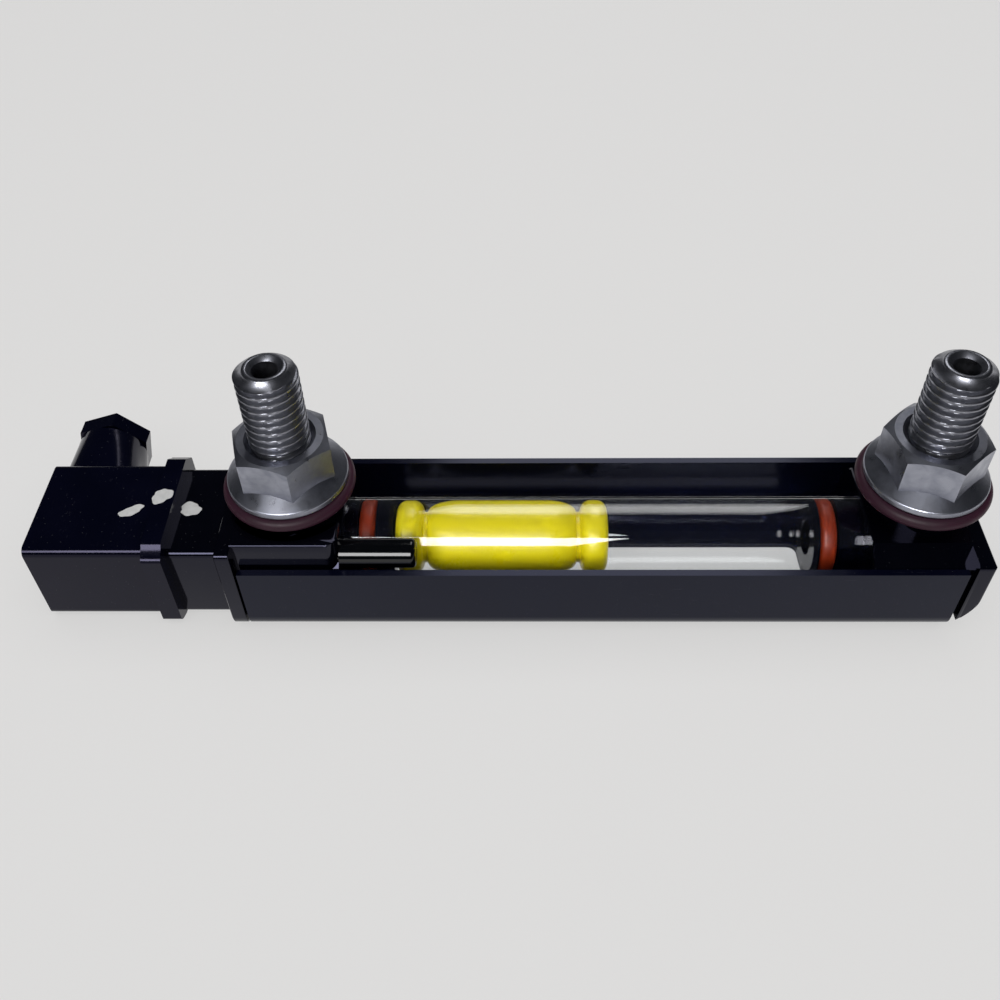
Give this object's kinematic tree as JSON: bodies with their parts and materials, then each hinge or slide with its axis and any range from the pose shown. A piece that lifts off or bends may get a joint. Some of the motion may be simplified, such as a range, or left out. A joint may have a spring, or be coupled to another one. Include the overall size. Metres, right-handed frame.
{
  "type": "tank level gauge",
  "caption": "Sight tube with a sliding float between end blocks in a sheet channel, held by hollow bolts with flange nuts, with a reed switch and an angled plug with a cable gland.",
  "frame": {"origin": "midway between the bolt axes, on the front face of the cover, which looks away from the tank", "axes": "+X along the gauge from the plug end to the upper bolt, +Z along the hollow bolts towards the tank wall, Y across the gauge"},
  "size_m": [0.1954, 0.0465, 0.0581],
  "materials": {
    "cover": "satin black coated sheet",
    "block": "glossy black moulded plastic",
    "plug": "satin black moulded plastic",
    "steel": "zinc plated, slightly dull",
    "seal": "dark red rubber",
    "oring": "orange red rubber",
    "black_rubber": "black rubber",
    "tube": "clear",
    "float": "yellow",
    "magnet": "dark sintered magnet",
    "reed": "dark nickel plated tube",
    "capsule": "green tinted glass",
    "contact": "tinned brass",
    "insert": "grey moulded plastic",
    "lead": "insulated wire"
  },
  "bodies": {
    "gauge": {"cover_channel": "cover", "lower_end_block": "block", "upper_end_block": "block", "sight_tube": "tube", "lower_tube_oring": "oring", "upper_tube_oring": "oring", "reed_tube": "reed", "reed_capsule": "capsule", "reed_leads": "lead", "lower_hollow_bolt": "steel", "upper_hollow_bolt": "steel", "lower_flange_nut": "steel", "upper_flange_nut": "steel", "lower_seal_ring": "seal", "upper_seal_ring": "seal", "lower_shank_oring": "black_rubber", "upper_shank_oring": "black_rubber", "connector_base": "plug", "contact_pins": "contact", "profile_gasket": "black_rubber", "plug_housing": "plug", "terminal_insert": "insert", "terminal_screws": "contact", "plug_screw": "steel", "gland_nut": "plug", "gland_washer": "steel", "gland_seal": "black_rubber"},
    "float": {"float_body": "float", "float_magnet": "magnet", "float_plug": "float"}
  },
  "joints": [
    {"name": "float_slide", "type": "slide", "parent": "gauge", "child": "float", "axis": [1, 0, 0], "range_m": [0, 0.0417]}
  ]
}
